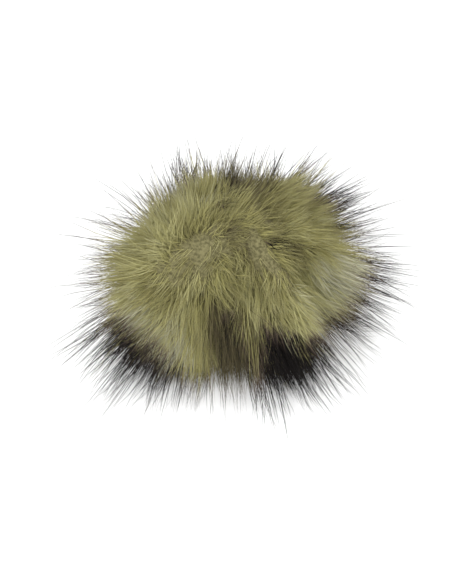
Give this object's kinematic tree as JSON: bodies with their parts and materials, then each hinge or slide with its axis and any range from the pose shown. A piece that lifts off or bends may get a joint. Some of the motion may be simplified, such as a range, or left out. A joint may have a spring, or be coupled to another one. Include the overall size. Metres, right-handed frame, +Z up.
{
  "type": "faux fur pom pom",
  "caption": "Round fluffy pom pom of long faux fur, khaki with dark brown tips, combed away from a parting over its crown.",
  "frame": {"origin": "middle of the small flat spot that the ball rests on, at the level of the table", "axes": "+Z up, +X along the ball's longest way across, -Y towards the side of the crown that shows most"},
  "size_m": [0.1503, 0.1442, 0.0751],
  "materials": {
    "fur": "long soft acrylic pile, khaki with dark brown tips"
  },
  "bodies": {
    "root": {"fur_ball": "fur"}
  },
  "joints": []
}
